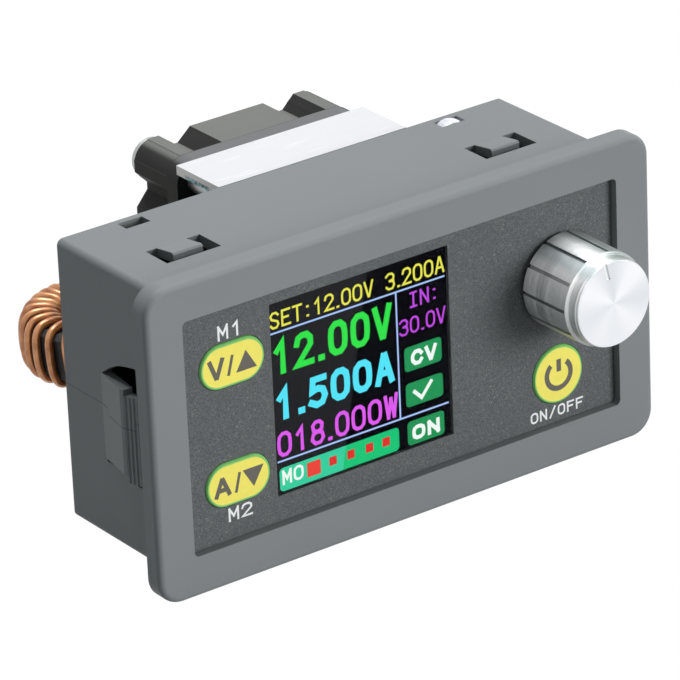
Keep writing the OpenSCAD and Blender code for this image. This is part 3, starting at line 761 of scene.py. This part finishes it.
# letters as strokes on a unit square; a stroke that ends where it starts is a ring
ring = ((0.32, 1), (0.68, 1), (0.94, 0.86), (1, 0.64), (1, 0.36), (0.94, 0.14), (0.68, 0), (0.32, 0),
        (0.06, 0.14), (0, 0.36), (0, 0.64), (0.06, 0.86), (0.32, 1))
letters = {
    "0": (ring,),
    "O": (ring,),
    "1": (((0.2, 0.74), (0.58, 1), (0.58, 0)),),
    "2": (((0, 0.74), (0.1, 0.93), (0.35, 1), (0.7, 1), (0.96, 0.84), (0.96, 0.62), (0, 0), (1, 0)),),
    "3": (((0, 0.86), (0.28, 1), (0.72, 1), (0.97, 0.82), (0.9, 0.6), (0.45, 0.53)),
          ((0.45, 0.53), (0.9, 0.46), (1, 0.22), (0.76, 0), (0.26, 0), (0, 0.15))),
    "5": (((0.95, 1), (0.16, 1), (0.08, 0.56), (0.5, 0.63), (0.86, 0.55), (1, 0.3), (0.8, 0.06), (0.4, 0),
           (0, 0.13)),),
    "8": (((0.5, 0.53), (0.14, 0.62), (0.08, 0.86), (0.32, 1), (0.68, 1), (0.92, 0.86), (0.86, 0.62), (0.5, 0.53)),
          ((0.5, 0.53), (0.9, 0.44), (1, 0.2), (0.72, 0), (0.28, 0), (0, 0.2), (0.1, 0.44), (0.5, 0.53))),
    "A": (((0, 0), (0.45, 1)), ((1, 0), (0.55, 1)), ((0.2, 0.32), (0.8, 0.32))),
    "C": (((1, 0.78), (0.78, 1), (0.32, 1), (0.04, 0.74), (0, 0.5), (0.04, 0.26), (0.32, 0), (0.78, 0), (1, 0.22)),),
    "E": (((0.95, 1), (0.04, 1), (0.04, 0), (1, 0)), ((0.04, 0.52), (0.75, 0.52))),
    "F": (((1, 1), (0.04, 1), (0.04, 0)), ((0.04, 0.52), (0.8, 0.52))),
    "I": (((0.5, 0), (0.5, 1)), ((0.15, 1), (0.85, 1)), ((0.15, 0), (0.85, 0))),
    "M": (((0.04, 0), (0.04, 1)), ((0.96, 0), (0.96, 1)), ((0.04, 1), (0.5, 0.35), (0.96, 1))),
    "N": (((0.04, 0), (0.04, 1)), ((0.96, 0), (0.96, 1)), ((0.04, 1), (0.96, 0))),
    "S": (((0.95, 0.84), (0.7, 1), (0.28, 1), (0.03, 0.82), (0.14, 0.6), (0.86, 0.4), (0.98, 0.2), (0.74, 0),
           (0.26, 0), (0.02, 0.17)),),
    "T": (((0, 1), (1, 1)), ((0.5, 1), (0.5, 0))),
    "V": (((0, 1), (0.45, 0)), ((1, 1), (0.55, 0))),
    "W": (((0, 1), (0.24, 0)), ((0.24, 0), (0.5, 0.85)), ((0.5, 0.85), (0.76, 0)), ((0.76, 0), (1, 1))),
    "/": (((0.1, -0.05), (0.9, 1.05)),),
    ".": (((0.3, 0), (0.7, 0)),),
    ":": (((0.44, 0.1), (0.56, 0.1)), ((0.44, 0.72), (0.56, 0.72))),
}
cellWide = {".": 0.5, ":": 0.8}


def outline(points, half):
    # the loops round a flat line, mitred at its corners and squared at its ends
    path = [Vector(point) for point in points]
    shut = (path[0] - path[-1]).length < 0.001
    if shut:
        path.pop()
    left, right = [], []
    for at, spot in enumerate(path):
        before = path[at - 1] if shut or at else None
        after = path[(at + 1) % len(path)] if shut or at < len(path) - 1 else None
        into = (spot - before).normalized() if before else (after - spot).normalized()
        out = (after - spot).normalized() if after else into
        side = Vector((-into.y - out.y, into.x + out.x)).normalized()
        reach = half / max(0.45, side.dot(Vector((-into.y, into.x))))
        push = (0 if after else half) - (0 if before else half)
        left.append(spot + into * push + side * reach)
        right.append(spot + into * push - side * reach)
    return [left, right] if shut else [left + right[::-1]]


def linework(paths, y, width, thick):
    # flat lines in X and Z, each on a curve of its own, then joined
    pieces = []
    for count, path in enumerate(paths):
        data = bpy.data.curves.new("line", "CURVE")
        data.dimensions = "2D"
        data.fill_mode = "BOTH"
        # strokes that cross stand a little prouder in turn, so that no two faces coincide
        data.extrude = thick / 2 * (0.8 + 0.1 * (count % 5))
        for loop in outline(path, width / 2):
            line = data.splines.new("POLY")
            line.points.add(len(loop) - 1)
            for spot, point in zip(line.points, loop):
                spot.co = (point.x, point.y, 0, 1)
            line.use_cyclic_u = True
        piece = bpy.data.objects.new("line", data)
        bpy.context.scene.collection.objects.link(piece)
        select(piece)
        bpy.ops.object.convert(target="MESH")
        pieces.append(bpy.context.object)
    made = joined(pieces)
    upright = Matrix.Rotation(math.pi / 2, 4, "X")
    made.data.transform(Matrix.Translation((0, (y + thick / 2) * mm, 0)) @ upright @ Matrix.Scale(mm, 4))
    bpy.ops.object.mode_set(mode="EDIT")
    bpy.ops.mesh.select_all(action="SELECT")
    bpy.ops.mesh.remove_doubles(threshold=0.001 * mm)
    bpy.ops.mesh.normals_make_consistent(inside=False)
    leaveEdit()
    return made


def lettering(text, left, right, low, high, y, width, thick, fill=0.87):
    # a line of letters in even cells that fills the box
    cells = [cellWide.get(letter, 1) for letter in text]
    pitch = (right - left) / (sum(cells) - 1 + fill)
    paths = []
    for letter, cell in zip(text, cells):
        wide = pitch * (cell - 1 + fill) - width
        tall = high - low - width
        for stroke in letters[letter]:
            paths.append([(left + width / 2 + u * wide, low + width / 2 + v * tall) for u, v in stroke])
        left += pitch * cell
    return linework(paths, y, width, thick)


# the screen

screen = {
    "glassFront": -1.65,
    "glassBack": -1.36,
    "sheetFront": -1.25,
    "sheetBack": -0.62,
    "ink": -1.27,
    "thick": 0.015,
    "margin": 0.05,
    "rim": 0.25,
    "sunk": 0.02,
    "left": -20.35,
    "right": 7.35,
    "low": -12.2,
    "high": 14.2,
}

colours = {
    "yellow": "#ecea52", "rule": "#a9c8ff", "green": "#2fe84a", "cyan": "#55eaff", "magenta": "#e35cf4",
    "purple": "#c24ae6", "badge": "#1d9656", "badgeText": "#f4fffa", "red": "#f0453a", "step": "#e0302a",
}
for key, code in colours.items():
    finishes[key] = litPart("lit_" + key, code)
finishes["bar"] = reflectedStrip("lit_bar", "#35cc9c", "#14c274")


def buildPane():
    low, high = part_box("display_window")
    pane = block((low.x / mm, screen["glassFront"], low.z / mm),
                 (high.x / mm, screen["glassBack"], high.z / mm), 0.06, 2)
    settle(pane, "display_pane", "pane", smooth=40)
    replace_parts(pane, "display_window")
    gap = screen["margin"]
    sheet = block((screen["left"] + gap, screen["sheetFront"], screen["low"] + gap),
                  (screen["right"] - gap, screen["sheetBack"], screen["high"] - gap), 0.05, 1)
    editFaces(sheet, lambda face: face.normal.y < -0.9)
    bpy.ops.mesh.inset(thickness=screen["rim"] * mm)
    bpy.ops.transform.translate(value=(0, screen["sunk"] * mm, 0))
    leaveEdit()
    settle(sheet, "display_sheet", "lcd")


def lit(name, piece, key):
    settle(piece, "display_" + name, key)


# text, colour, left, right, low, high, stroke width
screenRows = {
    "set_volts": ("SET:12.00V", "yellow", -20.15, -4.07, 10.5, 12.8, 0.30),
    "set_amps": ("3.200A", "yellow", -2.2, 7.1, 10.5, 12.85, 0.30),
    "volts": ("12.00V", "green", -20.1, -1.4, 4.1, 8.85, 0.86),
    "amps": ("1.500A", "cyan", -20.0, -1.35, -2.2, 2.25, 0.90),
    "watts": ("018.000W", "magenta", -19.87, -0.95, -7.25, -3.8, 0.50),
    "input_label": ("IN:", "purple", 1.3, 5.95, 7.05, 9.25, 0.28),
    "input_volts": ("30.0V", "purple", -0.33, 7.05, 3.55, 5.85, 0.28),
}
screenBars = {
    "rule_top": ("rule", -20.2, 7.08, 9.82, 10.06, 0),
    "rule_low": ("rule", -19.95, 7.07, -7.9, -7.66, 0),
    "rule_side": ("rule", -0.78, -0.54, -7.66, 9.82, 0),
    "badge_mode": ("badge", 0.31, 6.2, -1.6, 1.8, 0.55),
    "badge_check": ("badge", 0.34, 6.24, -6.55, -3.25, 0.55),
    "badge_output": ("badge", 0.38, 6.24, -11.95, -8.6, 0.55),
    "bar": ("bar", -19.75, -1.0, -12.0, -8.75, 0.6),
}
# these lie on the badges and the bar
badgeRows = {
    "mode_text": ("CV", "badgeText", 1.3, 5.45, -1.0, 1.15, 0.54),
    "output_text": ("ON", "badgeText", 1.1, 5.55, -11.4, -9.35, 0.54),
    "bar_text": ("M0", "badgeText", -19.4, -16.05, -11.15, -9.1, 0.34),
}


checkMark = ((1.7, -4.65), (2.8, -5.75), (4.35, -3.95))
barMark = (-15.5, -13.4, -11.3, -9.3)
barSteps = {"places": (-11.46, -8.64, -5.71, -3.07), "half": 0.58, "low": -10.8, "high": -9.6}


def buildScreen():
    y, thick = screen["ink"], screen["thick"]
    for name, (text, key, *box, width) in screenRows.items():
        lit(name, lettering(text, *box, y, width, thick), key)
    for name, (key, *box, corner) in screenBars.items():
        lit(name, plate(*box, y, thick, corner), key)
    y -= 0.02
    for name, (text, key, *box, width) in badgeRows.items():
        lit(name, lettering(text, *box, y, width, thick), key)
    lit("check_mark", linework([checkMark], y, 0.5, thick), "badgeText")
    lit("bar_mark", plate(*barMark, y, thick), "red")
    half, low, high = (barSteps[key] for key in ("half", "low", "high"))
    lit("bar_steps", joined([plate(x - half, x + half, low, high, y, thick) for x in barSteps["places"]]), "step")


buildPane()
buildScreen()
print("screen built")


# prints on the keys and the overlay

legend = {
    "keyFace": -2.012,
    "film": -1.712,
    "thick": 0.02,
    "powerX": 24.45,
    "powerZ": -8.92,
    "powerRadius": 2.33,
    "powerInner": 0.68,
    "powerGap": 41,
    "powerBar": (-0.33, 0.41, 0.4, 2.13),
}

# letter and its box, slash, arrow (left, right, foot, tip) and the body it rides on
keyPrints = {
    "volts_legend": ("V", (-30.2, -27.72, 6.7, 9.5), ((-27.12, 6.95), (-26.5, 9.2)),
                     (-26.0, -22.85, 6.8, 9.5), "volts_button"),
    "amps_legend": ("A", (-30.2, -27.68, -9.45, -6.8), ((-26.9, -9.25), (-26.32, -7.0)),
                    (-25.8, -22.6, -6.75, -9.4), "amps_button"),
}

# text and its box, stroke width
filmPrints = {
    "label_one": ("M1", (-28.35, -24.6, 11.6, 13.66), 0.3),
    "label_two": ("M2", (-28.13, -24.38, -13.35, -11.45), 0.3),
    "label_power": ("ON/OFF", (19.9, 28.6, -14.97, -13.42), 0.26),
}


def triangle(left, right, foot, tip, y, thick):
    bpy.ops.object.select_all(action="DESELECT")
    bpy.ops.mesh.primitive_circle_add(vertices=3, radius=1, fill_type="NGON")
    made = bpy.context.object
    spots = ((left, foot), (right, foot), ((left + right) / 2, tip))
    for vertex, (x, z) in zip(made.data.vertices, spots):
        vertex.co = Vector((x, y, z)) * mm
    bpy.ops.object.mode_set(mode="EDIT")
    bpy.ops.mesh.select_all(action="SELECT")
    thicken(thick)
    return made


def keyLegend(name, letter, box, slash, arrow, body):
    y, thick = legend["keyFace"], legend["thick"]
    glyph = lettering(letter, *box, y, 0.62, thick, 1)
    bar = linework([slash], y, 0.42, thick)
    settle(joined([glyph, bar, triangle(*arrow, y, thick)]), name, "legend", body)


def powerLegend():
    # a ring that is open at the top, with a bar in the gap
    x, y, z = legend["powerX"], legend["keyFace"], legend["powerZ"]
    inner = legend["powerInner"]
    bpy.ops.object.select_all(action="DESELECT")
    bpy.ops.mesh.primitive_circle_add(vertices=72, radius=legend["powerRadius"] * mm, fill_type="NOTHING",
                                      location=Vector((x, y, z)) * mm, rotation=(math.pi / 2, 0, 0))
    arc = bpy.context.object
    bpy.ops.object.transform_apply(location=True, rotation=True, scale=True)
    bpy.ops.object.mode_set(mode="EDIT")
    bpy.ops.mesh.select_all(action="SELECT")
    bpy.ops.mesh.extrude_edges_move()
    bpy.ops.transform.resize(value=(inner, 1, inner), center_override=Vector((x, y, z)) * mm)
    leaveEdit()
    gap = math.radians(legend["powerGap"])
    editFaces(arc, lambda face: abs(math.atan2(face.center.x - x * mm, face.center.z - z * mm)) < gap)
    bpy.ops.mesh.delete(type="FACE")
    bpy.ops.mesh.select_all(action="SELECT")
    thicken(legend["thick"])
    left, right, low, high = legend["powerBar"]
    bar = plate(x + left, x + right, z + low, z + high, y, legend["thick"])
    settle(joined([arc, bar]), "power_legend", "legend", "power_button")


def buildLegends():
    for name, spec in keyPrints.items():
        keyLegend(name, *spec)
    powerLegend()
    for name, (text, box, width) in filmPrints.items():
        piece = lettering(text, *box, legend["film"], width, legend["thick"], 0.84)
        settle(piece, name, "white")


buildLegends()
print("prints laid on")


# the wound coil

coil = {
    "centre": (-22.6, 33.0, -0.75),
    "inner": 5.9,
    "outer": 9.95,
    "high": 6.5,
    "wire": 1.12,
    "turns": 29,
    "pitch": 11.95,
    "first": -77.0,
    "denser": 0.20,
    "denseSide": 70.0,
    "leadX": 2.6,
    "leadZ": -4.15,
    "leadBend": 2.6,
    "board": 21.0,
    "square": 0.70,
    "slant": 0.06,
    "wobble": 1.1,
    "swell": 0.12,
    "sunk": 0.34,
    "clear": 0.02,
    "steps": 28,
}


def coilSection(share):
    # a point of one turn round the core: radius, height and how far the turn has advanced
    gap = coil["wire"] / 2 + coil["clear"]
    near, far = coil["inner"] - gap, coil["outer"] + gap
    top = coil["high"] / 2 + gap
    middle, half = (near + far) / 2, (far - near) / 2
    angle = share * 2 * math.pi
    c, s = math.cos(angle), math.sin(angle)
    across = math.copysign(abs(c) ** coil["square"], c)
    up = math.copysign(abs(s) ** coil["square"], s)
    advance = (share + coil["slant"] * math.sin(2 * angle)) if share else 0
    return middle - across * half, up * top, advance


def coilPoints():
    random.seed(7)
    centre = Vector(coil["centre"])
    points = []
    for turn in range(coil["turns"]):
        wobble = random.uniform(-coil["wobble"], coil["wobble"])
        swell = random.uniform(0, coil["swell"])
        for step in range(coil["steps"]):
            share = step / coil["steps"]
            radius, up, advance = coilSection(share)
            ease = math.sin(math.pi * share)
            even = coil["first"] + coil["pitch"] * (turn + advance)
            bunch = coil["denser"] * math.sin(math.radians(even - coil["denseSide"]))
            angle = math.radians(even + wobble * ease) - bunch
            # inside the hole every second turn lies a little deeper
            radius += swell * ease - coil["sunk"] * (turn % 2) * (1 - ease) ** 2
            points.append(centre + Vector((radius * math.cos(angle), radius * math.sin(angle), up)))
    return points


def wireAlong(name, points):
    data = bpy.data.curves.new(name, "CURVE")
    data.dimensions = "3D"
    line = data.splines.new("NURBS")
    line.points.add(len(points) - 1)
    for spot, point in zip(line.points, points):
        spot.co = (*(Vector(point) * mm), 1)
    line.order_u = 4
    line.use_endpoint_u = True
    line.resolution_u = 2
    data.bevel_depth = coil["wire"] / 2 * mm
    data.bevel_resolution = 3
    data.use_fill_caps = True
    made = bpy.data.objects.new(name, data)
    bpy.context.scene.collection.objects.link(made)
    select(made)
    bpy.ops.object.convert(target="MESH")
    return settle(bpy.context.object, name, "copper", smooth=60)


def buildCoil():
    # the winding, and two leads from its ends to the power board
    points = coilPoints()
    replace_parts(wireAlong("coil_wire", points), "toroid_winding")
    for name, end, side in (("coil_lead_left", points[0], -1), ("coil_lead_right", points[-1], 1)):
        foot = Vector((coil["centre"][0] + side * coil["leadX"], coil["board"], coil["leadZ"]))
        bend = Vector((foot.x, foot.y + coil["leadBend"], foot.z))
        wireAlong(name, [end, end.lerp(bend, 0.3), end.lerp(bend, 0.7), bend, foot])


buildCoil()
print("coil wound")


# small parts on the rear of the power board

rearParts = {
    "board": 21.6,
    "jointHeight": 0.9,
    "jointRadius": 1.35,
    "jointTop": 0.5,
    "rimWidth": 0.26,
    "rimInset": 0.42,
    "rimDrop": 0.12,
    "hubRing": 6.3,
    "hubLine": 0.16,
    "hubGate": 0.8,
    "capPlace": 0.42,
    "capLong": 0.11,
    "capWide": 0.53,
    "capLift": 0.03,
}

# middle X and Z, length, width, height, upright
smallParts = {
    "dark": ((-31.2, 15.6, 2.0, 1.25, 0.5, 0), (-27.9, 15.6, 2.0, 1.25, 0.5, 0), (-11.3, 4.9, 1.6, 0.8, 0.45, 1),
             (-11.3, 2.2, 1.6, 0.8, 0.45, 1), (-32.3, -5.2, 1.6, 0.8, 0.45, 1), (-11.6, -15.9, 2.0, 1.25, 0.5, 1)),
    "ceramic": ((-18.3, 15.6, 3.2, 1.6, 1.2, 0), (-11.5, 15.4, 2.0, 1.25, 0.9, 1), (-29.8, -5.2, 2.0, 1.25, 0.9, 1),
                (-26.6, -13.2, 3.2, 1.6, 1.2, 1), (-11.4, -1.0, 2.0, 1.25, 0.9, 1), (22.4, 15.9, 3.2, 1.6, 1.2, 0)),
}


def smallPart(x, z, length, width, tall, upright):
    # the body, and its two tinned ends
    board, lift = rearParts["board"], rearParts["capLift"]
    wide, high = (width, length) if upright else (length, width)
    body = block((x - wide / 2, board, z - high / 2), (x + wide / 2, board + tall, z + high / 2), 0.06, 1)
    caps = []
    for side in (-1, 1):
        shift = side * (length * rearParts["capPlace"])
        capX, capZ = (x, z + shift) if upright else (x + shift, z)
        long, across = length * rearParts["capLong"], width * rearParts["capWide"]
        wide, high = (across, long) if upright else (long, across)
        low, top = (capX - wide, board, capZ - high), (capX + wide, board + tall + lift, capZ + high)
        caps.append(block(low, top, 0.05, 1))
    return body, caps


def buildSmallParts():
    ends = []
    for finish, spots in smallParts.items():
        bodies = []
        for spot in spots:
            body, caps = smallPart(*spot)
            bodies.append(body)
            ends += caps
        settle(joined(bodies), "small_parts_" + finish, finish)
    settle(joined(ends), "small_part_ends", "solder")


def buildCanRims():
    # the sleeve's rolled rim round the top of each can
    for count, (x, z, radius, end) in enumerate(cans):
        y = end - rearParts["rimDrop"]
        rim = torus(x, z, y, radius - rearParts["rimInset"], rearParts["rimWidth"], 48, 10)
        settle(rim, f"can_rim_{count}", "rim", smooth=60)


def buildJoints():
    # solder round the coil's leads
    board, narrow = rearParts["board"], rearParts["jointTop"]
    top = board + rearParts["jointHeight"]
    cones = []
    for side in (-1, 1):
        x = coil["centre"][0] + side * coil["leadX"]
        cone = roundPost(x, coil["leadZ"], board, top, rearParts["jointRadius"], 0)
        editFaces(cone, lambda face: face.normal.y > 0.9)
        spot = Vector((x, top, coil["leadZ"])) * mm
        bpy.ops.transform.resize(value=(narrow, 1, narrow), center_override=spot)
        leaveEdit()
        cones.append(cone)
    settle(joined(cones), "coil_joints", "solder", smooth=50)


def buildHubMarks():
    # a fine ring and the moulding gate on the fan's hub
    x, z, end = fanSpot["x"], fanSpot["z"], fanSpot["hubEnd"]
    edge = torus(x, z, end, rearParts["hubRing"], rearParts["hubLine"], 56, 8)
    gate = roundPost(x, z, end - 0.1, end + 0.12, rearParts["hubGate"], 0.08, 24)
    settle(joined([edge, gate]), "hub_marks", "dark", "rotor", 50)


buildSmallParts()
buildCanRims()
buildJoints()
buildHubMarks()
print("rear parts built")
